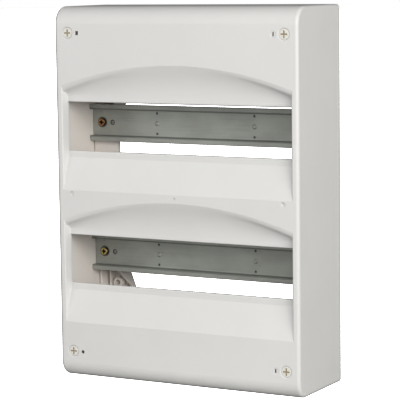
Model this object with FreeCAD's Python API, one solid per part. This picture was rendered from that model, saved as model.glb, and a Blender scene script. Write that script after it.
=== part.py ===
# Two-row surface-mounted distribution box for modular breakers, in millimetres.
# X runs across the box, Z runs up, and -Y is the front. "Depth" is the distance behind the front plane.
import FreeCAD, Part
import os
from math import cos, radians, sin, sqrt, tan
from FreeCAD import Vector

# ---- overall box
WIDTH = 250.0
HEIGHT = 348.0
DEPTH = 88.0
WALL = 2.5
TOP_ROUND = 16.0
BOTTOM_ROUND = 14.0
CORNER_ROUND = 3.0
REAR_ROUND = 1.2
FIT_GAP = 1.0

# ---- device rows
ROW_PITCH = 125.0
ROWS = {"lower": HEIGHT / 2 - ROW_PITCH / 2, "upper": HEIGHT / 2 + ROW_PITCH / 2}
SIDES = {"left": -1, "right": 1}
ENDS = {"bottom": -1, "top": 1}

# ---- windows and the recess round each one, measured from the row's centre line
WINDOW_HALF_W = 117.2
WINDOW_HALF_H = 23.0
RECESS = 8.0
PLATE = 2.0
MOUTH_HALF_W = 118.4
MOUTH_ROUND = 1.2
MOUTH_FLARE = 10.0
BAND_LOW = 29.0
PANEL_LOW = 59.1
LIP_TOP = 28.0
ARCH_END = 38.0
ARCH_APEX = 57.9
SCOOP_HALF_W = 119.0
SCOOP_MIDDLE = [(RECESS, 0.0), (RECESS, 0.4), (2.0, 0.85), (0.5, 0.963), (-0.15, 1.03)]
SCOOP_SIDE = [(RECESS, 0.0), (RECESS, 0.08), (5.5, 0.22), (0.35, 0.5), (-0.15, 1.2)]
WINDOW_ROUND = 0.9

# ---- small marks on the front: dimples between the rows and sealing holes beside the fasteners
DIMPLE_X = 109.7
DIMPLE_R = 2.1
DIMPLE_DEEP = 1.1
CENTRE_R = 1.1
SEAL_WEB = 0.8
SEAL_POCKET = 3.5
SEAL_HALF_W = 1.4
SEAL_HALF_H = 1.8
SEAL_R = 1.6
SLIT_HALF_W = 0.7
DISC_R = 2.9

# ---- rails, 35 x 7.5 top-hat section
RAIL_LENGTH = 244.0
RAIL_HEIGHT = 35.0
RAIL_INNER = 27.0
RAIL_DEPTH = 7.5
RAIL_SHEET = 1.0
RAIL_BEND = 0.7
RAIL_CORNER = 2.0
RAIL_FRONT = RECESS + PLATE + 44.0
RAIL_BACK = RAIL_FRONT + RAIL_DEPTH
WEB_FRONT = RAIL_BACK - RAIL_SHEET
RAIL_SCREW_X = 112.0
PAN_R = 4.0
PAN_T = 2.4
PAN_CROWN = 1.2
PAN_CROSS = 2.6
THREAD_R = 1.9
THREAD_END = WEB_FRONT + 17.0
THREAD_TIP = 3.0
RING_R = 5.2
PEG_X = 100.5
PEG_HOLE = 2.5
PEG_R = 1.6
MARK_X = 51.5
MARK_RISE = 9.7
MARK_R = 1.2
PIP_R = 0.9
BUMP_R = 2.3

# ---- uprights that carry the rails, and the frame behind them
UPRIGHT_INNER = 96.6
UPRIGHT_DEPTH = 5.0
UPRIGHT_REACH = 14.5
SHEET = 2.0
FRAME_HALF_W = WIDTH / 2 - WALL - FIT_GAP
FRAME_LOW = WALL + FIT_GAP
FRAME_FRONT = RAIL_BACK + UPRIGHT_DEPTH
BACK_PLATE = 3.0
PLATE_FRONT = DEPTH - BACK_PLATE
SIDE_STRIP = 12.0
RIM_FRONT = 78.0
CROSS_HEIGHT = 34.5
GUSSET_TOP = 115.2
GUSSET_SLOPE = 0.377
GUSSET_RIM_BEND = 95.0
GUSSET_RIM_LOW = 70.0
STRIP_RIB = {"x": 115.6, "front": 76.0, "top": 104.0}
WALL_BOSS = {"x": 108.0, "z": 78.5, "r": 5.0, "hole": 2.6, "front": 77.0}
BOSS_FIN = {"front": 80.0, "reach": 16.0, "t": 1.6}
BOSS_POCKET = {"step": 8.0, "half_w": 1.7, "low": 6.0, "high": 2.0, "deep": 1.8}

# ---- quarter-turn fasteners of the cover
FASTENER_X = 111.5
FASTENER_Z = 149.6
HEAD_R = 4.9
HEAD_T = 1.6
CROSS_REACH = 3.4
CROSS_W = 1.4
SHANK_R = 2.5
RUN_GAP = 0.08
TUBE_R = 6.5
TUBE_BORE = 5.0
TUBE_END = 58.0
SEAT_T = 2.4
GROOVE_R = 2.1
CLIP_T = 1.2
KEEPER_FRONT = 64.0
KEEPER_T = 2.5
WING_R = 4.1
WING_W = 4.0
WING_T = 2.0
WING_FRONT = KEEPER_FRONT + KEEPER_T + 0.4
POST = 16.0
SEAL_STEP = 10.5

# ---- terminal bars
BAR_HALF_L = 78.0
BAR_H = 8.0
BAR_T = 8.0
BAR_FRONT = 62.0
BAR_FROM_END = 23.0
CLAMPS = 16
CLAMP_PITCH = 9.0
CLAMP_R = 2.5
WIRE_R = 2.4
HOLDER_X = 84.0
HOLDER_FOOT = 8.0
HOLDER_FOOT_T = 3.0
HOLDER_GRIP = 4.0
HOLDER_WALL = 2.0
HOLDER_HEAD_R = 2.8
HOLDER_HEAD_T = 1.8
HOLDER_THREAD_R = 1.25

# ---- cable-entry plates in the top and bottom of the frame
ENTRY_HALF_W = 70.0
ENTRY_FRONT = 69.0
ENTRY_BACK = 83.0
ENTRY_LIP = 1.8
ENTRY_GAP = 0.2
KNOCKOUTS = 7
KNOCKOUT_PITCH = 19.0
KNOCKOUT_R = 5.4


# ------------------------------------------------------------------ helpers
def at(depth):
    """Y of a depth behind the front plane."""
    return depth - DEPTH / 2


def block(x0, x1, d0, d1, z0, z1):
    """Box between two X, two depths and two Z, given in any order."""
    low = Vector(min(x0, x1), at(min(d0, d1)), min(z0, z1))
    return Part.makeBox(abs(x1 - x0), abs(d1 - d0), abs(z1 - z0), low)


def rod(x, z, r, d0, d1):
    """Round bar along Y."""
    return Part.makeCylinder(r, d1 - d0, Vector(x, at(d0), z), Vector(0, 1, 0))


def prism_x(points, half_w):
    """Outline of (depth, Z) points, drawn across the box."""
    ring = [Vector(-half_w, at(d), z) for d, z in points]
    return Part.Face(Part.makePolygon(ring + ring[:1])).extrude(Vector(2 * half_w, 0, 0))


def prism_y(points, d0, d1):
    """Outline of (X, Z) points, drawn backwards from depth d0 to d1."""
    ring = [Vector(x, at(d0), z) for x, z in points]
    return Part.Face(Part.makePolygon(ring + ring[:1])).extrude(Vector(0, d1 - d0, 0))


def drilled(shape, cutters):
    """A shape with a list of cutters taken away."""
    return shape.cut(cutters)


def mirrored(shape):
    """The same shape on the other side of the box."""
    return shape.mirror(Vector(0, 0, 0), Vector(1, 0, 0))


def corners():
    """Name, X side and Z of each of the four corner fasteners."""
    for end, up in ENDS.items():
        for side, out in SIDES.items():
            yield f"{end}_{side}", out, HEIGHT / 2 + up * FASTENER_Z


def cross_recess(x, z, reach, width, d0, d1):
    """Two crossed slots for a screwdriver."""
    flat = block(x - reach, x + reach, d0, d1, z - width / 2, z + width / 2)
    return flat.fuse(block(x - width / 2, x + width / 2, d0, d1, z - reach, z + reach))


# ------------------------------------------------------------------ cover
def envelope(inset, back):
    """Side outline with a round front top and front bottom, drawn across the box."""
    half = WIDTH / 2 - inset
    front, rear = at(inset), at(back)
    low, high = inset, HEIGHT - inset
    rt, rb = TOP_ROUND - inset, BOTTOM_ROUND - inset
    mid = 1 - sqrt(0.5)

    def point(y, z):
        return Vector(-half, y, z)

    low_arc = Part.Arc(point(front + rb, low), point(front + mid * rb, low + mid * rb), point(front, low + rb))
    top_arc = Part.Arc(point(front, high - rt), point(front + mid * rt, high - mid * rt), point(front + rt, high))
    edges = [
        Part.makeLine(point(rear, low), point(front + rb, low)),
        low_arc.toShape(),
        Part.makeLine(point(front, low + rb), point(front, high - rt)),
        top_arc.toShape(),
        Part.makeLine(point(front + rt, high), point(rear, high)),
        Part.makeLine(point(rear, high), point(rear, low)),
    ]
    return Part.Face(Part.Wire(edges)).extrude(Vector(2 * half, 0, 0))


def outer_body():
    """Solid outside of the cover: softened down both sides and round its rear edge."""
    body = envelope(0, DEPTH)
    rear = at(DEPTH)
    side = []
    for edge in body.Edges:
        on_side = all(abs(abs(v.X) - WIDTH / 2) < 0.01 for v in edge.Vertexes)
        along = abs(edge.Vertexes[0].X - edge.Vertexes[-1].X) < 0.01
        at_rear = all(abs(v.Y - rear) < 0.01 for v in edge.Vertexes)
        if on_side and along and not at_rear:
            side.append(edge)
    body = body.makeFillet(CORNER_ROUND, side)
    rim = [e for e in body.Edges if all(abs(v.Y - rear) < 0.01 for v in e.Vertexes)]
    return body.makeFillet(REAR_ROUND, rim)


def scoop_face(row):
    """Hollow under the arch, from an upright lip forward to the arched edge.

    Its section is a quadratic spline of (depth, share of the hollow's height) points. In the middle of the box
    it is hollow up to a crisp edge; at the sides it rolls over softly. Across the box one section turns into
    the other by the square of the distance from the middle, and so does the hollow's height.
    """
    reach = 1.03
    apex = ARCH_APEX - LIP_TOP
    end = apex - (ARCH_APEX - ARCH_END) * reach ** 2
    half = SCOOP_HALF_W * reach
    columns = [[], [], []]
    for (mid_depth, mid_rise), (side_depth, side_rise) in zip(SCOOP_MIDDLE, SCOOP_SIDE):
        side = Vector(half, at(side_depth), row + LIP_TOP + side_rise * end)
        middle = Vector(0, at(mid_depth), row + LIP_TOP + mid_rise * apex)
        columns[0].append(Vector(-half, side.y, side.z))
        columns[1].append(Vector(0, 2 * middle.y - side.y, 2 * middle.z - side.z))
        columns[2].append(side)
    surface = Part.BSplineSurface()
    surface.buildFromPolesMultsKnots(columns, [3, 3], [3, 1, 1, 3], [0, 1], [0, 4, 5, 6], False, False, 2, 2)
    return surface.toShape()


def recess(row, grow):
    """Space taken out in front of a window; grow makes the same shape larger by a plate's thickness."""
    out = 14.0
    low = [(-out, row - PANEL_LOW - grow / 2), (grow, row - PANEL_LOW - grow / 2)]
    low += [(RECESS + grow, row - BAND_LOW - grow / 2), (RECESS + grow, row + LIP_TOP + grow)]
    low += [(-out, row + LIP_TOP + grow)]
    if grow == 0:
        low[0] = (-out, row - PANEL_LOW)
    body = prism_x(low, MOUTH_HALF_W + 4)
    scoop = scoop_face(row)
    scoop.translate(Vector(0, grow, grow))
    hollow = scoop.extrude(Vector(0, -out - RECESS, 0))
    return body.fuse(hollow)


def mouth():
    """Slightly tapering sides of both recesses, rounded over at the front and drawn up the whole box."""
    turn = radians(90 - MOUTH_FLARE)
    mid = turn / 2
    centre_x, centre_d = MOUTH_HALF_W + MOUTH_ROUND, MOUTH_ROUND

    def on_round(angle):
        return centre_x - MOUTH_ROUND * cos(angle), centre_d - MOUTH_ROUND * sin(angle)

    end_x, end_d = on_round(turn)
    far_x = end_x + (end_d + 1) / tan(radians(MOUTH_FLARE))
    edges = []
    for out in SIDES.values():
        line = [(WINDOW_HALF_W, RECESS), on_round(0)]
        flare = [on_round(turn), (far_x, -1), (far_x, -20)]
        for run in (line, flare):
            spots = [Vector(out * x, at(d), 0) for x, d in run]
            edges += [Part.makeLine(p, q) for p, q in zip(spots, spots[1:])]
        arc = [Vector(out * x, at(d), 0) for x, d in map(on_round, (0, mid, turn))]
        edges.append(Part.Arc(*arc).toShape())
    for x, depth in ((WINDOW_HALF_W, RECESS), (far_x, -20)):
        edges.append(Part.makeLine(Vector(-x, at(depth), 0), Vector(x, at(depth), 0)))
    outline = Part.Wire(Part.__sortEdges__(edges))
    return Part.Face(outline).extrude(Vector(0, 0, HEIGHT))


def cover_tube(out, z):
    """Guide tube behind a corner fastener, tied to the side wall by a rib."""
    x = out * FASTENER_X
    tube = rod(x, z, TUBE_R, WALL / 2, TUBE_END)
    rib = block(x, out * (WIDTH / 2 - WALL / 2), WALL / 2, TUBE_END - 8, z - 1, z + 1)
    return [tube, rib]


def keyhole(x, z, d0, d1, gap):
    """Round hole with an upright slot that lets the fastener's wings through."""
    tall = WING_R + gap
    wide = WING_W / 2 + gap
    return rod(x, z, SHANK_R + RUN_GAP, d0, d1).fuse(block(x - wide, x + wide, d0, d1, z - tall, z + tall))


def seal_hole(name, out, z):
    """Sealing-wire hole beside a fastener: square at the top left, round at the bottom left, slits at the right.

    The wall is thinned from behind round each hole.
    """
    x = out * (FASTENER_X - SEAL_STEP)
    pocket = block(x - SEAL_POCKET, x + SEAL_POCKET, SEAL_WEB, WALL + 1, z - SEAL_POCKET, z + SEAL_POCKET)
    if name == "top_left":
        return [pocket, block(x - SEAL_HALF_W, x + SEAL_HALF_W, -1, WALL, z - SEAL_HALF_H, z + SEAL_HALF_H)]
    if out < 0:
        return [pocket, rod(x, z, SEAL_R, -1, WALL)]
    slit = block(x - SLIT_HALF_W, x + SLIT_HALF_W, -1, WALL, z - SEAL_HALF_H, z + SEAL_HALF_H)
    return [pocket, slit, rod(x, z, DISC_R, -1, SEAL_WEB / 3)]


def dimples():
    """Blind marks on the band between the rows."""
    middle = HEIGHT / 2
    marks = [rod(0, middle, CENTRE_R, -1, DIMPLE_DEEP)]
    marks += [rod(out * DIMPLE_X, middle, DIMPLE_R, -1, DIMPLE_DEEP) for out in SIDES.values()]
    return marks


def trunking_scores():
    """Shallow lines on the top and bottom walls, along which they are broken out for cables."""
    line, score = 0.8, 0.5
    frames = []
    for z0, z1 in ((-1, score), (HEIGHT - score, HEIGHT + 1)):
        outer = block(-ENTRY_HALF_W, ENTRY_HALF_W, ENTRY_FRONT - 3, DEPTH + 1, z0, z1)
        inner = block(-ENTRY_HALF_W + line, ENTRY_HALF_W - line, ENTRY_FRONT - 3 + line, DEPTH + 2, z0, z1)
        frames.append(outer.cut(inner))
    return frames


def round_windows(body):
    """Softens the upper and lower front edge of each window."""
    edges = []
    for edge in body.Edges:
        box = edge.BoundBox
        on_plate = abs(box.YMin - at(RECESS)) < 0.01 and box.YLength < 0.01
        level = min(abs(abs(box.ZMin - row) - WINDOW_HALF_H) for row in ROWS.values())
        if on_plate and level < 0.01 and box.ZLength < 0.01 and box.XLength > WIDTH / 2:
            edges.append(edge)
    return body.makeFillet(WINDOW_ROUND, edges)


def front_cover():
    """Deep one-piece cover: front, four sides, two recessed windows and four guide tubes."""
    outside = outer_body()
    shell = outside.cut(envelope(WALL, DEPTH + 10))
    parts = [shell]
    for row in ROWS.values():
        thick = recess(row, PLATE)
        parts.append(thick.common(outside))
    for _, out, z in corners():
        parts += cover_tube(out, z)
    body = parts[0].multiFuse(parts[1:])
    sides = mouth()
    cuts = [recess(row, 0).common(sides) for row in ROWS.values()]
    for row in ROWS.values():
        cuts.append(block(-WINDOW_HALF_W, WINDOW_HALF_W, RECESS - 1, 14, row - WINDOW_HALF_H, row + WINDOW_HALF_H))
    for name, out, z in corners():
        x = out * FASTENER_X
        cuts.append(rod(x, z, HEAD_R + 0.15, -1, HEAD_T))
        cuts.append(Part.makeCone(HEAD_R + 1.6, HEAD_R + 0.15, 1.0, Vector(x, at(-0.4), z), Vector(0, 1, 0)))
        cuts.append(keyhole(x, z, HEAD_T - 0.1, HEAD_T + SEAT_T + 0.1, 0.15))
        cuts.append(rod(x, z, TUBE_BORE, HEAD_T + SEAT_T, TUBE_END + 1))
        cuts += seal_hole(name, out, z)
    cuts += dimples()
    cuts += trunking_scores()
    return round_windows(drilled(body, cuts).removeSplitter())


# ------------------------------------------------------------------ fasteners
def cover_fastener(out, z):
    """Quarter-turn fastener: cross-recessed head, shank with a clip groove, and two wings."""
    x = out * FASTENER_X
    head_front = 0.1
    head = rod(x, z, HEAD_R, head_front, HEAD_T)
    ring = [e for e in head.Edges if abs(e.BoundBox.YMin - at(head_front)) < 0.01 and e.BoundBox.YLength < 0.01]
    head = head.makeFillet(0.5, ring)
    tail = WING_FRONT + WING_T
    shank = rod(x, z, SHANK_R, HEAD_T - 0.2, tail)
    wings = block(x - WING_W / 2, x + WING_W / 2, WING_FRONT, tail, z - WING_R, z + WING_R)
    wings = wings.common(rod(x, z, WING_R, WING_FRONT, tail))
    clip = TUBE_END - 2 * CLIP_T
    groove = rod(x, z, TUBE_BORE, clip - 0.1, clip + CLIP_T + 0.1).cut(rod(x, z, GROOVE_R, clip - 1, clip + 3))
    body = head.multiFuse([shank, wings])
    return drilled(body, [groove, cross_recess(x, z, CROSS_REACH, CROSS_W, -1, 1.5)])


def fastener_retainers():
    """Four spring clips, pressed into the guide tubes, that keep the fasteners on the cover."""
    clip = TUBE_END - 2 * CLIP_T
    rings = []
    for _, out, z in corners():
        x = out * FASTENER_X
        ring = rod(x, z, TUBE_BORE, clip, clip + CLIP_T).cut(rod(x, z, GROOVE_R + RUN_GAP, clip - 1, clip + 3))
        mouth_slot = block(x - 1.4, x + 1.4, clip - 1, clip + 3, z, z + TUBE_BORE + 1)
        rings.append(ring.cut(mouth_slot))
    return Part.makeCompound(rings)


# ------------------------------------------------------------------ rails and uprights
def is_bend(edge, row):
    """Whether an edge of the square-cornered rail lies on the outside of one of its four bends."""
    box = edge.BoundBox
    rise = abs(box.ZMin - row)
    outer = RAIL_INNER / 2
    along = box.XLength > RAIL_LENGTH - 1 and box.ZLength < 0.01 and rise < outer + 0.01
    return along and (rise > outer - 0.01) == (box.YMin > at(WEB_FRONT))


def is_lip_corner(edge, row):
    """Whether an edge of the rail is one of the four corners of its lips."""
    box = edge.BoundBox
    at_tip = abs(abs(box.ZMin - row) - RAIL_HEIGHT / 2) < 0.01 and box.ZLength < 0.01
    return at_tip and box.XLength < 0.01


def din_rail(row):
    """Top-hat rail with screw holes, peg holes, punched marks, and pips and a shallow ring round each screw."""
    lip, wall = RAIL_HEIGHT / 2, RAIL_INNER / 2
    t = RAIL_SHEET
    outline = [
        (RAIL_FRONT, lip), (RAIL_FRONT + t, lip), (RAIL_FRONT + t, wall), (RAIL_BACK, wall),
        (RAIL_BACK, -wall), (RAIL_FRONT + t, -wall), (RAIL_FRONT + t, -lip), (RAIL_FRONT, -lip),
        (RAIL_FRONT, -wall + t), (WEB_FRONT, -wall + t), (WEB_FRONT, wall - t), (RAIL_FRONT, wall - t),
    ]
    rail = prism_x([(d, row + z) for d, z in outline], RAIL_LENGTH / 2)
    rail = rail.makeFillet(RAIL_BEND, [e for e in rail.Edges if is_bend(e, row)])
    rail = rail.makeFillet(RAIL_CORNER, [e for e in rail.Edges if is_lip_corner(e, row)])
    cuts = []
    raised = []
    for out in SIDES.values():
        screw_x, mark_x = out * RAIL_SCREW_X, out * MARK_X
        cuts.append(rod(screw_x, row, THREAD_R + 0.4, WEB_FRONT - 1, RAIL_BACK + 1))
        cuts.append(rod(screw_x, row, RING_R, WEB_FRONT - 1, WEB_FRONT + RAIL_SHEET / 4))
        cuts.append(rod(out * PEG_X, row, PEG_HOLE, WEB_FRONT - 1, RAIL_BACK + 1))
        raised.append(Part.makeCone(BUMP_R, 1.4, 0.9, Vector(mark_x, at(WEB_FRONT), row), Vector(0, -1, 0)))
        for z in (row - MARK_RISE, row + MARK_RISE):
            cuts.append(rod(mark_x, z, MARK_R, WEB_FRONT - 1, WEB_FRONT + 0.6))
            raised.append(Part.makeCone(PIP_R, 0.5, 0.5, Vector(screw_x, at(WEB_FRONT), z), Vector(0, -1, 0)))
    return drilled(rail.multiFuse(raised), cuts)


def rail_screws(row):
    """Two pan-head screws that hold a rail and both uprights to the frame."""
    seat = WEB_FRONT + RAIL_SHEET / 4
    top = seat - PAN_T
    screws = []
    for out in SIDES.values():
        x = out * RAIL_SCREW_X
        head = rod(x, row, PAN_R, top, seat)
        crown = [e for e in head.Edges if abs(e.BoundBox.YMax - at(top)) < 0.01]
        head = head.makeFillet(PAN_CROWN, crown)
        shank = rod(x, row, THREAD_R, seat - 0.5, THREAD_END)
        tip = Part.makeCone(THREAD_R, THREAD_R / 3, THREAD_TIP, Vector(x, at(THREAD_END), row), Vector(0, 1, 0))
        slots = cross_recess(x, row, PAN_CROSS, PAN_CROSS / 2.2, top - 1, top + 1.6)
        pit = Part.makeCone(PAN_CROSS / 1.5, 0.3, 1.9, Vector(x, at(top), row), Vector(0, 1, 0))
        screws.append(drilled(head.multiFuse([shank, tip]), [slots, pit]))
    return Part.makeCompound(screws)


def upright(out):
    """Shallow channel behind the rail ends, with a locating peg for each rail."""
    low, high = ROWS["lower"] - UPRIGHT_REACH, ROWS["upper"] + UPRIGHT_REACH
    back = RAIL_BACK + UPRIGHT_DEPTH
    x0, x1 = out * UPRIGHT_INNER, out * FRAME_HALF_W
    body = block(x0, x1, RAIL_BACK, back, low, high)
    hollow = block(x0 + out * SHEET, x1 - out * SHEET, RAIL_BACK + SHEET, back + 1, low + SHEET, high - SHEET)
    parts = [body.cut(hollow)]
    for row in ROWS.values():
        parts.append(rod(out * RAIL_SCREW_X, row, 4.5, RAIL_BACK + 1, back))
        parts.append(rod(out * PEG_X, row, PEG_R, WEB_FRONT + 0.3, RAIL_BACK + 0.5))
    holes = [rod(out * RAIL_SCREW_X, row, 2.1, RAIL_BACK - 1, back + 1) for row in ROWS.values()]
    return drilled(parts[0].multiFuse(parts[1:]), holes).removeSplitter()


# ------------------------------------------------------------------ frame against the wall
def gusset_x(z):
    """Distance of a corner plate's slanted edge from the middle of the box."""
    return FRAME_HALF_W - SIDE_STRIP - GUSSET_SLOPE * (GUSSET_TOP - z)


def corner_of_frame():
    """Bottom left quarter of the frame: wall plate, walls, corner plate with its rim, bosses and posts."""
    back = PLATE_FRONT
    edge = -FRAME_HALF_W
    middle = HEIGHT / 2
    boss_x, boss_z = -WALL_BOSS["x"], WALL_BOSS["z"]
    cross_top = FRAME_LOW + CROSS_HEIGHT
    plate = [(edge, FRAME_LOW), (0, FRAME_LOW), (0, cross_top), (-gusset_x(cross_top), cross_top)]
    plate += [(edge + SIDE_STRIP, GUSSET_TOP), (edge + SIDE_STRIP, middle), (edge, middle)]
    parts = [prism_y(plate, back, DEPTH)]
    parts.append(block(edge, edge + SHEET, FRAME_FRONT, DEPTH, FRAME_LOW, middle))
    parts.append(block(edge, 0, FRAME_FRONT, DEPTH, FRAME_LOW, FRAME_LOW + SHEET))
    parts.append(block(edge + SIDE_STRIP - SHEET, edge + SIDE_STRIP, RIM_FRONT, DEPTH, GUSSET_TOP, middle))
    parts.append(block(-gusset_x(cross_top), 0, RIM_FRONT, DEPTH, cross_top - SHEET, cross_top))
    parts.append(gusset_rim(back))
    rib_x = -STRIP_RIB["x"]
    parts.append(block(rib_x - SHEET / 2, rib_x + SHEET / 2, STRIP_RIB["front"], DEPTH, cross_top, STRIP_RIB["top"]))
    parts.append(rod(boss_x, boss_z, WALL_BOSS["r"], WALL_BOSS["front"], DEPTH))
    fin = BOSS_FIN["t"] / 2
    parts.append(block(boss_x - fin, boss_x + fin, BOSS_FIN["front"], DEPTH, boss_z - BOSS_FIN["reach"], boss_z))
    parts.append(rod(-RAIL_SCREW_X, ROWS["lower"], 5.0, FRAME_FRONT, DEPTH))
    x, z = -FASTENER_X, middle - FASTENER_Z
    parts.append(block(x - POST / 2, x + POST / 2, KEEPER_FRONT, DEPTH, z - POST / 2, z + POST / 2))
    room = POST / 2 - SHEET
    cuts = [
        rod(boss_x, boss_z, WALL_BOSS["hole"], WALL_BOSS["front"] - 1, DEPTH + 1),
        rod(-RAIL_SCREW_X, ROWS["lower"], THREAD_R + 0.05, FRAME_FRONT - 1, THREAD_END + THREAD_TIP + 0.5),
        block(x - room, x + room, KEEPER_FRONT + KEEPER_T, back, z - room, z + room),
        keyhole(x, z, KEEPER_FRONT - 1, KEEPER_FRONT + KEEPER_T + 1, 0.3),
        block(-ENTRY_HALF_W, 1, ENTRY_FRONT, ENTRY_BACK, FRAME_LOW - 1, FRAME_LOW + SHEET + 1),
    ]
    pocket = BOSS_POCKET
    for step in (-pocket["step"], pocket["step"]):
        x0, x1 = boss_x + step - pocket["half_w"], boss_x + step + pocket["half_w"]
        cuts.append(block(x0, x1, back - 1, back + pocket["deep"], boss_z - pocket["low"], boss_z + pocket["high"]))
    cuts.append(rod(-HOLDER_X, BAR_FROM_END, HOLDER_THREAD_R + 0.05, back - 1, DEPTH - 0.6))
    return drilled(parts[0].multiFuse(parts[1:]), cuts)


def gusset_rim(back):
    """Upright wall along the corner plate's slanted edge, falling away towards the bottom."""
    top, bend, low = GUSSET_TOP, GUSSET_RIM_BEND, GUSSET_RIM_LOW
    face = Part.Face(Part.makePolygon([
        Vector(-gusset_x(top), at(FRAME_FRONT), top), Vector(-gusset_x(top), at(DEPTH), top),
        Vector(-gusset_x(low), at(DEPTH), low), Vector(-gusset_x(low), at(back), low),
        Vector(-gusset_x(bend), at(FRAME_FRONT), bend), Vector(-gusset_x(top), at(FRAME_FRONT), top),
    ]))
    return face.extrude(Vector(-SHEET, 0, 0))


def base_frame():
    """Open moulded frame that is screwed to the wall, made of four mirrored quarters."""
    low_left = corner_of_frame()
    low = low_left.fuse(mirrored(low_left))
    high = low.mirror(Vector(0, 0, HEIGHT / 2), Vector(0, 0, 1))
    return low.fuse(high).removeSplitter()


# ------------------------------------------------------------------ terminal bars
def bar_z(up):
    """Height of the terminal bar at one end of the box."""
    return HEIGHT / 2 + up * (HEIGHT / 2 - BAR_FROM_END)


def clamp_places():
    """X of each clamp along a bar."""
    return [(i - (CLAMPS - 1) / 2) * CLAMP_PITCH for i in range(CLAMPS)]


def terminal_bar(up):
    """Brass bar with a wire hole and a threaded hole at each clamp."""
    z = bar_z(up)
    bar = block(-BAR_HALF_L, BAR_HALF_L, BAR_FRONT, BAR_FRONT + BAR_T, z - BAR_H / 2, z + BAR_H / 2)
    cuts = []
    for x in clamp_places():
        foot = Vector(x, at(BAR_FRONT + 5), z - BAR_H)
        cuts.append(Part.makeCylinder(WIRE_R, 2 * BAR_H, foot))
        cuts.append(rod(x, z, CLAMP_R + 0.05, BAR_FRONT - 1, BAR_FRONT + 4))
    return drilled(bar, cuts)


def clamp_screws(up):
    """One slotted screw in each clamp."""
    z = bar_z(up)
    screws = []
    for x in clamp_places():
        screw = rod(x, z, CLAMP_R, BAR_FRONT - 1.2, BAR_FRONT + 2.4)
        screws.append(screw.cut(block(x - 0.45, x + 0.45, BAR_FRONT - 3, BAR_FRONT + 0.3, z - 3, z + 3)))
    return Part.makeCompound(screws)


def bar_holders(up):
    """Insulating foot at each end of a bar, with a clip that closes round it."""
    z = bar_z(up)
    foot_front = PLATE_FRONT - HOLDER_FOOT_T
    bar_back = BAR_FRONT + BAR_T
    grip = BAR_H / 2 + HOLDER_WALL
    feet = []
    for out in SIDES.values():
        x = out * HOLDER_X
        x0, x1 = out * (BAR_HALF_L - HOLDER_GRIP), out * (BAR_HALF_L + HOLDER_WALL)
        foot = block(x - HOLDER_FOOT, x + HOLDER_FOOT, foot_front, PLATE_FRONT, z - HOLDER_FOOT, z + HOLDER_FOOT)
        stem = block(x0, x1, bar_back, foot_front, z - grip + 1, z + grip - 1)
        clip = block(x0, x1, BAR_FRONT - HOLDER_WALL, bar_back, z - grip, z + grip)
        bar = block(-BAR_HALF_L, BAR_HALF_L, BAR_FRONT, bar_back, z - BAR_H / 2, z + BAR_H / 2)
        hole = rod(x, z, HOLDER_THREAD_R + 0.55, foot_front - 1, PLATE_FRONT + 1)
        feet.append(drilled(foot.multiFuse([stem, clip]), [bar, hole]).removeSplitter())
    return Part.makeCompound(feet)


def holder_screws():
    """Small screws that fix the four holder feet to the frame."""
    seat = PLATE_FRONT - HOLDER_FOOT_T
    top = seat - HOLDER_HEAD_T
    screws = []
    for up in ENDS.values():
        for out in SIDES.values():
            x, z = out * HOLDER_X, bar_z(up)
            head = rod(x, z, HOLDER_HEAD_R, top, seat)
            shank = rod(x, z, HOLDER_THREAD_R, seat - 1, DEPTH - 0.7)
            screws.append(head.fuse(shank).cut(cross_recess(x, z, 1.7, 0.7, top - 1, top + 1)))
    return Part.makeCompound(screws)


# ------------------------------------------------------------------ cable-entry plates
def entry_plate(up):
    """Push-in plate in the frame's end wall, with a row of ringed knock-outs."""
    lip_in, lip_out = FRAME_LOW + SHEET, FRAME_LOW + SHEET + 1.5
    g = ENTRY_GAP
    plug = block(-ENTRY_HALF_W + g, ENTRY_HALF_W - g, ENTRY_FRONT + g, ENTRY_BACK - g, FRAME_LOW, lip_in)
    lip = block(-ENTRY_HALF_W - ENTRY_LIP, ENTRY_HALF_W + ENTRY_LIP,
                ENTRY_FRONT - ENTRY_LIP, ENTRY_BACK + ENTRY_LIP, lip_in, lip_out)
    plate = plug.fuse(lip)
    rings = []
    for i in range(KNOCKOUTS):
        x = (i - (KNOCKOUTS - 1) / 2) * KNOCKOUT_PITCH
        foot = Vector(x, at((ENTRY_FRONT + ENTRY_BACK) / 2), FRAME_LOW - 1)
        ring = Part.makeCylinder(KNOCKOUT_R, 1.8, foot).cut(Part.makeCylinder(KNOCKOUT_R - 0.7, 1.8, foot))
        rings.append(ring)
    plate = drilled(plate, rings).removeSplitter()
    if up > 0:
        plate = plate.mirror(Vector(0, 0, HEIGHT / 2), Vector(0, 0, 1))
    return plate


# ------------------------------------------------------------------ all nodes
def build():
    """Every node of the box, by name."""
    nodes = {"front_cover": front_cover(), "fastener_retainers": fastener_retainers()}
    for name, out, z in corners():
        nodes[f"cover_fastener_{name}"] = cover_fastener(out, z)
    nodes["base_frame"] = base_frame()
    for side, out in SIDES.items():
        nodes[f"{side}_upright"] = upright(out)
    for name, row in ROWS.items():
        nodes[f"{name}_din_rail"] = din_rail(row)
        nodes[f"{name}_rail_screws"] = rail_screws(row)
    for name, up in (("earth", 1), ("neutral", -1)):
        nodes[f"{name}_bar"] = terminal_bar(up)
        nodes[f"{name}_bar_screws"] = clamp_screws(up)
        nodes[f"{name}_bar_holders"] = bar_holders(up)
    nodes["holder_screws"] = holder_screws()
    for end, up in ENDS.items():
        nodes[f"{end}_entry_plate"] = entry_plate(up)
    return nodes


os.makedirs("parts", exist_ok=True)
for node, shape in build().items():
    box = shape.BoundBox
    print(f"{node:30s} solids {len(shape.Solids):3d}  valid {shape.isValid()}  volume {shape.Volume:10.1f}"
          f"  x {box.XMin:8.2f} {box.XMax:8.2f}  y {box.YMin:7.2f} {box.YMax:7.2f}  z {box.ZMin:7.2f} {box.ZMax:7.2f}")
    shape.exportStep(f"parts/{node}.step")
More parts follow.
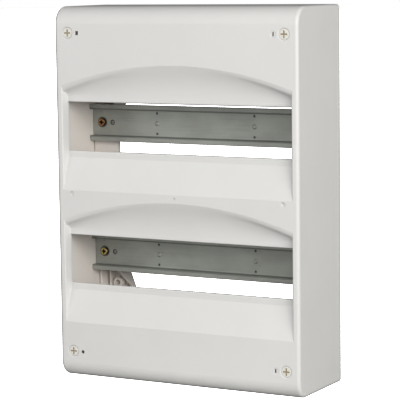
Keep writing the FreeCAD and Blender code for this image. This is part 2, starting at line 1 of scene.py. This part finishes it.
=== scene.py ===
"""Two-row distribution box in a small studio: a finish for every piece, the lights, the floor and the camera.

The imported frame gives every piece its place. All lengths are metres; X runs across the box, Z runs up and -Y
is the front.
"""
import math

import bpy
from mathutils import Matrix, Vector


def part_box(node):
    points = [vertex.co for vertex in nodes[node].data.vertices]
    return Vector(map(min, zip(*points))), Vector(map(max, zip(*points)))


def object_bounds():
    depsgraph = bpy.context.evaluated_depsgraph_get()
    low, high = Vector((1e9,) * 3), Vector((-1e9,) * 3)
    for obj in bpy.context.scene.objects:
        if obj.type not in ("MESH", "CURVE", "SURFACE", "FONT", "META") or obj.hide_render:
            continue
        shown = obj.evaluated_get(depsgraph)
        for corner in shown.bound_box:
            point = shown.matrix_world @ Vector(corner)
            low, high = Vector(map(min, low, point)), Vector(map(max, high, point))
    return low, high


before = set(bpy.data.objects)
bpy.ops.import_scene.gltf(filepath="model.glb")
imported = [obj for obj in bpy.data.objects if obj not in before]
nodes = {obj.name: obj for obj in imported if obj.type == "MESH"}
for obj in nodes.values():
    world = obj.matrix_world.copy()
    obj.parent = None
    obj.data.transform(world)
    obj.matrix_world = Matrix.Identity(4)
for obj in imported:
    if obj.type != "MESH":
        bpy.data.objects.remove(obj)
cad_low, cad_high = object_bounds()


def middle_of(name):
    """Middle of one piece's box."""
    low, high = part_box(name)
    return (low + high) / 2


# ------------------------------------------------------------------ sizes and places, from the frame
MM = 0.001
HEAD_SINK = 0.1 * MM
RAIL_SHEET = 1 * MM
SEALING_STEP = 10.5 * MM
SEALING_REACH = 3.6 * MM
box_size = cad_high - cad_low
box_middle = (cad_high + cad_low) / 2
head_front = cad_low.y + HEAD_SINK
row_pitch = middle_of("upper_din_rail").z - middle_of("lower_din_rail").z
rail_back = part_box("upper_din_rail")[1].y
web_front = rail_back - RAIL_SHEET
fastener = middle_of("cover_fastener_top_left")
sealing_x = fastener.x + SEALING_STEP
sealing_rise = fastener.z - box_middle.z


# ------------------------------------------------------------------ finishes: the shared steps
class Wire:
    """One output in a node tree. Arithmetic on wires and numbers adds Math nodes."""

    def __init__(self, home, socket):
        self.home = home
        self.socket = socket

    def maths(self, operation, *values):
        """A Math node of one operation on the given wires or numbers."""
        return self.home.node("Math", {"operation": operation}, dict(enumerate(values)))

    def __add__(self, other):
        return self.maths("ADD", self, other)

    def __radd__(self, other):
        return self.maths("ADD", other, self)

    def __sub__(self, other):
        return self.maths("SUBTRACT", self, other)

    def __rsub__(self, other):
        return self.maths("SUBTRACT", other, self)

    def __mul__(self, other):
        return self.maths("MULTIPLY", self, other)

    def __rmul__(self, other):
        return self.maths("MULTIPLY", other, self)

    def __abs__(self):
        return self.maths("ABSOLUTE", self)


class Network:
    """A tree of nodes, and the one call that adds nodes to it."""

    def __init__(self, tree):
        self.tree = tree

    def find(self, sockets, key):
        """The socket with that number, or the first one in use with that name."""
        if isinstance(key, int):
            return sockets[key]
        return next(socket for socket in sockets if socket.name == key and socket.enabled)

    def feed(self, socket, value):
        """Links a wire to an input, or sets the input to a number, colour or vector."""
        if isinstance(value, Wire):
            self.tree.links.new(value.socket, socket)
        elif isinstance(value, tuple) and socket.type == "RGBA":
            socket.default_value = (*value, 1.0)
        else:
            socket.default_value = value

    def node(self, kind, settings=None, feeds=None, out=0):
        """Adds one node: its settings first, then the numbers or wires of its inputs."""
        made = self.tree.nodes.new("ShaderNode" + kind)
        for key, value in (settings or {}).items():
            setattr(made, key, value)
        for key, value in (feeds or {}).items():
            self.feed(self.find(made.inputs, key), value)
        return Wire(self, self.find(made.outputs, out))

    def axes(self, place):
        """The three coordinates of a place: across the box, from its front to its back, and up."""
        apart = self.node("SeparateXYZ", feeds={0: place}).socket.node
        return [Wire(self, socket) for socket in apart.outputs]


class Finish(Network):
    """A material while it is being mixed: its shader, and the patterns and masks that go into it."""

    def __init__(self, name):
        self.material = bpy.data.materials.new(name)
        self.material.use_nodes = True
        super().__init__(self.material.node_tree)
        self.shader = self.tree.nodes["Principled BSDF"]
        self.place = self.node("TexCoord", out="Object")

    def set(self, **values):
        """Sets or feeds the shader's own sockets; an underscore in a name stands for a space."""
        for key, value in values.items():
            self.feed(self.shader.inputs[key.replace("_", " ")], value)

    def noise(self, size, detail=2.0, stretch=(1.0, 1.0, 1.0)):
        """Cloudy pattern from 0 to 1 with lumps of a given size, longer where the stretch is above 1."""
        along = tuple(1.0 / (size * longer) for longer in stretch)
        spot = self.node("VectorMath", {"operation": "MULTIPLY"}, {0: self.place, 1: along})
        feeds = {"Vector": spot, "Scale": 1.0, "Detail": detail, "Roughness": 0.5}
        return self.node("TexNoise", feeds=feeds)

    def ease(self, wire, low, high):
        """0 below low, 1 above high, and a smooth rise between them."""
        feeds = {"Value": wire, "From Min": low, "From Max": high}
        return self.node("MapRange", {"interpolation_type": "SMOOTHSTEP"}, feeds)

    def mix(self, share, first, second):
        """Colour that goes from the first to the second as the share goes from 0 to 1."""
        return self.node("Mix", {"data_type": "RGBA"}, {"Factor": share, "A": first, "B": second}, "Result")

    def window(self, wire, rise, fall):
        """1 from the rise's end to the fall's start, 0 beyond both. Each is a pair: its start and its end."""
        return self.ease(wire, *rise) * (1.0 - self.ease(wire, *fall))

    def bump(self, height, depth, base=None):
        """Relief of a given depth in metres, laid over another relief if there is one."""
        feeds = {"Height": height, "Distance": depth, "Strength": 1.0}
        if base is not None:
            feeds["Normal"] = base
        return self.node("Bump", feeds=feeds)

    def round_edge(self, radius):
        """Normal of a surface whose sharp edges are eased by a radius."""
        return self.node("Bevel", {"samples": 6}, {"Radius": radius})

    def edge_wear(self, eased):
        """0 on a flat face and up to 1 along an edge, by how far the eased normal leaves the face's own."""
        face = self.node("NewGeometry", out="True Normal")
        same = self.node("VectorMath", {"operation": "DOT_PRODUCT"}, {0: eased, 1: face}, "Value")
        return self.ease(1.0 - same, 0.01, 0.2)


# ------------------------------------------------------------------ finishes: one function each
def moulded_plastic(name, colour, shade, rough=0.42, inside=None, peg_tips=None):
    """Satin moulded plastic: a slow drift of shade, fine grain, faint handling marks and paler rubbed edges.

    A colour for the inside paints a warm glow of bounced light over whatever lies behind the front and within
    the box's outer walls, and the left sealing holes get painted shade within. A colour for peg tips greys
    whatever stands in front of the rails' backs, and the face round the pegs gets painted shade.
    """
    f = Finish(name)
    drift = f.noise(55 * MM, 3.0)
    grains = f.noise(0.35 * MM)
    marks = f.noise(9 * MM, 4.0, stretch=(1.0, 1.0, 3.5))
    speck = f.ease(f.noise(1.6 * MM, 1.0), 0.74, 0.8)
    eased = f.round_edge(0.5 * MM)
    rub = f.edge_wear(eased)
    body = f.mix(f.ease(drift, 0.3, 0.7), shade, colour)
    if inside is not None:
        # Painted light: the inside takes a paler, warmer colour that stands in for warm light bounced round
        # within the box.
        body = f.mix(inner_share(f), body, inside)
        # Painted shade: the left sealing holes and the pockets behind them go nearly black.
        body = f.mix(sealing_share(f) * 0.9, body, DEEP_SHADOW)
    if peg_tips is not None:
        along = f.axes(f.place)[1]
        # Painted shade: the upright's face round each peg, seen behind the rail's web, goes nearly black.
        behind_web = 1.0 - f.ease(row_offset(f), 3.0 * MM, 3.2 * MM)
        near = 1.0 - f.ease(along, rail_back + 0.2 * MM, rail_back + 0.3 * MM)
        body = f.mix(behind_web * near, body, DEEP_SHADOW)
        body = f.mix(1.0 - f.ease(along, rail_back - 0.2 * MM, rail_back - 0.1 * MM), body, peg_tips)
    rubbed = f.mix(rub * 0.35, body, tuple(min(1.0, c * 1.08) for c in colour))
    dusty = f.mix(speck * 0.12, rubbed, tuple(c * 0.72 for c in shade))
    f.set(Base_Color=dusty, Roughness=rough + (marks - 0.5) * 0.16 - rub * 0.06)
    f.set(Normal=f.bump(grains, 0.012 * MM, eased))
    f.set(IOR=1.49, Specular_IOR_Level=0.5)
    return f.material


def row_offset(f):
    """Distance above or below the middle of the nearer row."""
    return abs(abs(f.axes(f.place)[2] - box_middle.z) - row_pitch / 2)


def inner_share(f):
    """1 well inside the box, 0 on its outer faces and on the front."""
    across, along, up = f.axes(f.place)
    share = f.ease(along, cad_low.y + 9 * MM, cad_low.y + 30 * MM)
    for offset, half in ((abs(across), box_size.x / 2), (abs(up - box_middle.z), box_size.z / 2)):
        share = share * (1.0 - f.ease(offset, half - 2 * MM, half - 0.5 * MM))
    return share


def sealing_share(f):
    """1 in the two sealing holes on the left and in the pockets behind them, 0 elsewhere."""
    across, along, up = f.axes(f.place)
    share = f.ease(along, cad_low.y + 0.05 * MM, cad_low.y + 0.2 * MM)
    for offset in (abs(across - sealing_x), abs(abs(up - box_middle.z) - sealing_rise)):
        share = share * (1.0 - f.ease(offset, SEALING_REACH, SEALING_REACH + 0.2 * MM))
    return share


def rolled_zinc(name, colour, shade, dark):
    """Galvanised sheet: rolling streaks along X, cloudy passivation and brighter rubbed edges.

    Painted shade darkens the bends beside the lips, and whatever is pressed or drilled behind the web's front.
    """
    f = Finish(name)
    streak = f.noise(0.5 * MM, 3.0, stretch=(120.0, 1.0, 1.0))
    cloud = f.noise(16 * MM, 4.0, stretch=(1.6, 1.0, 1.0))
    bloom = f.noise(2.2 * MM, 3.0)
    eased = f.round_edge(0.35 * MM)
    rub = f.edge_wear(eased)
    body = f.mix(f.ease(cloud, 0.32, 0.68), shade, colour)
    streaked = f.mix(f.ease(streak, 0.35, 0.7) * 0.35, body, tuple(c * 1.25 for c in colour))
    rubbed = f.mix(rub * 0.4, streaked, tuple(c * 1.4 for c in colour))
    # Painted shade: the web's holes and pressed rings, and the bends beside the lips, are darkened towards the
    # dark colour.
    behind_web = f.axes(f.place)[1] - web_front
    pressed = f.window(behind_web, (0.08 * MM, 0.3 * MM), (0.8 * MM, 0.9 * MM))
    bend = f.window(row_offset(f), (11.6 * MM, 12.9 * MM), (13.4 * MM, 14.2 * MM))
    f.set(Base_Color=f.mix(pressed * 0.9, f.mix(bend * 0.55, rubbed, dark), dark), Metallic=0.55)
    f.set(Roughness=0.47 + (bloom - 0.5) * 0.2 + (streak - 0.5) * 0.15 - rub * 0.1)
    relief = f.bump(streak, 0.006 * MM, eased)
    f.set(Normal=f.bump(bloom, 0.01 * MM, relief))
    return f.material


def turned_metal(name, colour, dark, seat=None):
    """Plated screw: fine turning marks and tarnish in patches.

    Where the head's seat is given, painted shade fills the recess and darkens the head from its crown back.
    """
    f = Finish(name)
    tarnish = f.noise(2.5 * MM, 3.0)
    lines = f.noise(0.18 * MM)
    eased = f.round_edge(0.2 * MM)
    body = f.mix(f.ease(tarnish, 0.35, 0.7), colour, dark)
    if seat is not None:
        # Painted shade: the screw goes nearly black towards its seat.
        recess_shade = f.ease(f.axes(f.place)[1], seat - 2.2 * MM, seat - 1.4 * MM)
        body = f.mix(recess_shade, body, tuple(c * 0.12 for c in dark))
    f.set(Base_Color=body, Metallic=0.9, Roughness=0.32 + (lines - 0.5) * 0.2)
    f.set(Normal=f.bump(lines, 0.01 * MM, eased))
    return f.material


def milled_bar(name, colour, dark):
    """Extruded brass bar: drawn lines along X, slight tarnish, cleaner edges."""
    f = Finish(name)
    drawn = f.noise(0.25 * MM, 3.0, stretch=(80.0, 1.0, 1.0))
    tarnish = f.noise(12 * MM, 4.0)
    eased = f.round_edge(0.3 * MM)
    rub = f.edge_wear(eased)
    body = f.mix(f.ease(tarnish, 0.35, 0.75), colour, dark)
    f.set(Base_Color=f.mix(rub * 0.5, body, colour), Metallic=1.0, Roughness=0.3 + (drawn - 0.5) * 0.3)
    f.set(Normal=f.bump(drawn, 0.01 * MM, eased))
    return f.material


def cream_fastener(name, colour, painted_slot_brown):
    """Glossy cream moulding whose cross recess is painted with brown shade by its depth behind the head's
    front.
    """
    f = Finish(name)
    # Painted shade: the cross recess turns brown with depth.
    cross_shade = f.window(f.axes(f.place)[1] - head_front, (0.25 * MM, 1.1 * MM), (1.55 * MM, 1.7 * MM))
    drift = f.noise(4 * MM, 3.0)
    grains = f.noise(0.3 * MM)
    eased = f.round_edge(0.2 * MM)
    body = f.mix(f.ease(drift, 0.3, 0.7), tuple(c * 0.95 for c in colour), colour)
    f.set(Base_Color=f.mix(cross_shade, body, painted_slot_brown), Roughness=0.3 + (drift - 0.5) * 0.15)
    f.set(Normal=f.bump(grains, 0.006 * MM, eased), IOR=1.5)
    return f.material


# ------------------------------------------------------------------ which piece gets which finish
DEEP_SHADOW = (0.04, 0.036, 0.03)
# Painted light: a paler, warmer colour that stands in for warm light bounced round inside the box.
INNER_PAINTED_GLOW = (0.78, 0.725, 0.675)
PEG_GREY = (0.22, 0.215, 0.20)
white = moulded_plastic("cover_white", (0.745, 0.738, 0.722), (0.73, 0.722, 0.706), inside=INNER_PAINTED_GLOW)
# Its third colour is the painted brown shade of the cross recess.
cream = cream_fastener("fastener_cream", (0.79, 0.775, 0.71), (0.42, 0.33, 0.20))
frame_white = moulded_plastic("frame_white", (0.80, 0.75, 0.70), (0.77, 0.72, 0.67), 0.5, peg_tips=PEG_GREY)
# The rail's last colour is the painted shade of its bends and holes.
zinc = rolled_zinc("rail_galvanised", (0.39, 0.405, 0.37), (0.33, 0.34, 0.31), (0.06, 0.07, 0.06))
copper = turned_metal("screw_copper", (0.50, 0.27, 0.13), (0.22, 0.11, 0.05), seat=web_front)
brass = turned_metal("screw_brass", (0.68, 0.55, 0.24), (0.40, 0.30, 0.12), seat=web_front)
bright = turned_metal("zinc_steel", (0.62, 0.63, 0.64), (0.42, 0.43, 0.44))
spring = turned_metal("spring_steel", (0.42, 0.42, 0.43), (0.25, 0.25, 0.27))
bar = milled_bar("bar_brass", (0.74, 0.58, 0.28), (0.52, 0.38, 0.17))
green = moulded_plastic("holder_green", (0.05, 0.26, 0.09), (0.04, 0.21, 0.07))
blue = moulded_plastic("holder_blue", (0.05, 0.14, 0.42), (0.04, 0.11, 0.35))

FINISHES = {
    "front_cover": white,
    "base_frame": frame_white,
    "left_upright": frame_white,
    "right_upright": frame_white,
    "bottom_entry_plate": frame_white,
    "top_entry_plate": frame_white,
    "lower_din_rail": zinc,
    "upper_din_rail": zinc,
    "upper_rail_screws": copper,
    "lower_rail_screws": brass,
    "earth_bar": bar,
    "neutral_bar": bar,
    "earth_bar_screws": bright,
    "neutral_bar_screws": bright,
    "holder_screws": bright,
    "fastener_retainers": spring,
    "earth_bar_holders": green,
    "neutral_bar_holders": blue,
}
for name, node in nodes.items():
    finish = FINISHES.get(name, cream)
    for slot in node.material_slots:
        slot.material = finish


# ------------------------------------------------------------------ floor, lights and camera
def floor():
    """Plain pale floor under the box, half clear, so that it shows only a faint shadow on white."""
    half = 15.0
    corners = [(-half, -half, 0), (half, -half, 0), (half, half, 0), (-half, half, 0)]
    mesh = bpy.data.meshes.new("floor")
    mesh.from_pydata(corners, [], [(0, 1, 2, 3)])
    piece = bpy.data.objects.new("floor", mesh)
    bpy.context.scene.collection.objects.link(piece)
    f = Finish("floor_white")
    f.set(Base_Color=f.mix(f.noise(0.4), (0.84, 0.84, 0.83), (0.88, 0.88, 0.87)), Roughness=0.9, Alpha=0.5)
    mesh.materials.append(f.material)
    piece.is_shadow_catcher = True


def soft_box(name, azimuth, elevation, distance, size, power, colour=(1.0, 1.0, 1.0)):
    """Square lamp aimed at the middle of the box; azimuth 0 is straight in front and 90 is on the right."""
    a, e = math.radians(azimuth), math.radians(elevation)
    out = Vector((math.sin(a) * math.cos(e), -math.cos(a) * math.cos(e), math.sin(e)))
    lamp = bpy.data.lights.new(name, "AREA")
    lamp.shape = "SQUARE"
    lamp.size = size
    lamp.energy = power
    lamp.color = colour
    holder = bpy.data.objects.new(name, lamp)
    holder.location = box_middle + out * distance
    holder.rotation_euler = (-out).to_track_quat("-Z", "Y").to_euler()
    bpy.context.scene.collection.objects.link(holder)


MAP_ENDS = ("Value", "From Min", "From Max", "To Min", "To Max")


def studio_world(base, front):
    """White to the eye. As a light, it is dark below the floor, dim all round and strongest in front."""
    world = bpy.data.worlds.new("studio")
    world.use_nodes = True
    sky = Network(world.node_tree)
    along, up = sky.axes(sky.node("TexCoord", out="Generated"))[1:]
    facing = sky.node("MapRange", feeds=dict(zip(MAP_ENDS, (along, 0.0, -1.0, base, base + front))))
    above = sky.node("MapRange", feeds=dict(zip(MAP_ENDS, (up, -0.02, 0.02, 0.0, 1.0))))
    seen = sky.node("LightPath", out="Is Camera Ray")
    strength = sky.node("Mix", feeds={"Factor": seen, "A": facing * above, "B": 1.0}, out="Result")
    light = world.node_tree.nodes["Background"]
    sky.feed(light.inputs["Strength"], strength)
    sky.feed(light.inputs["Color"], (1.0, 1.0, 1.0))
    bpy.context.scene.world = world


def camera(place, yaw, pitch, roll, lens):
    """Camera at a place, turned left of +Y by yaw, tipped down by pitch and rolled clockwise by roll."""
    data = bpy.data.cameras.new("camera")
    data.lens = lens
    data.sensor_width = 36.0
    data.clip_start, data.clip_end = 0.05, 100.0
    ahead = Vector((-math.sin(yaw) * math.cos(pitch), math.cos(yaw) * math.cos(pitch), -math.sin(pitch)))
    level = Vector((math.cos(yaw), math.sin(yaw), 0.0))
    up = level.cross(ahead)
    right = math.cos(roll) * level + math.sin(roll) * up
    top = math.cos(roll) * up - math.sin(roll) * level
    turn = Matrix((right, top, -ahead)).transposed()
    holder = bpy.data.objects.new("camera", data)
    holder.matrix_world = Matrix.Translation(place) @ turn.to_4x4()
    bpy.context.scene.collection.objects.link(holder)
    bpy.context.scene.camera = holder


floor()
studio_world(0.05, 1.0)
soft_box("key", 44, 17, 1.9, 0.8, 11.5)
soft_box("side_key", 66, 12, 1.9, 0.8, 13.8, (1.0, 0.99, 0.955))
soft_box("left_fill", -42, 14, 1.9, 0.9, 4.5)
soft_box("back_fill", 215, 0, 2.2, 0.34, 11)
camera(Vector((0.8359, -1.5251, 0.3797)), 0.50009, 0.12099, -0.01267, 170.0)
bpy.context.scene.view_settings.view_transform = "Standard"
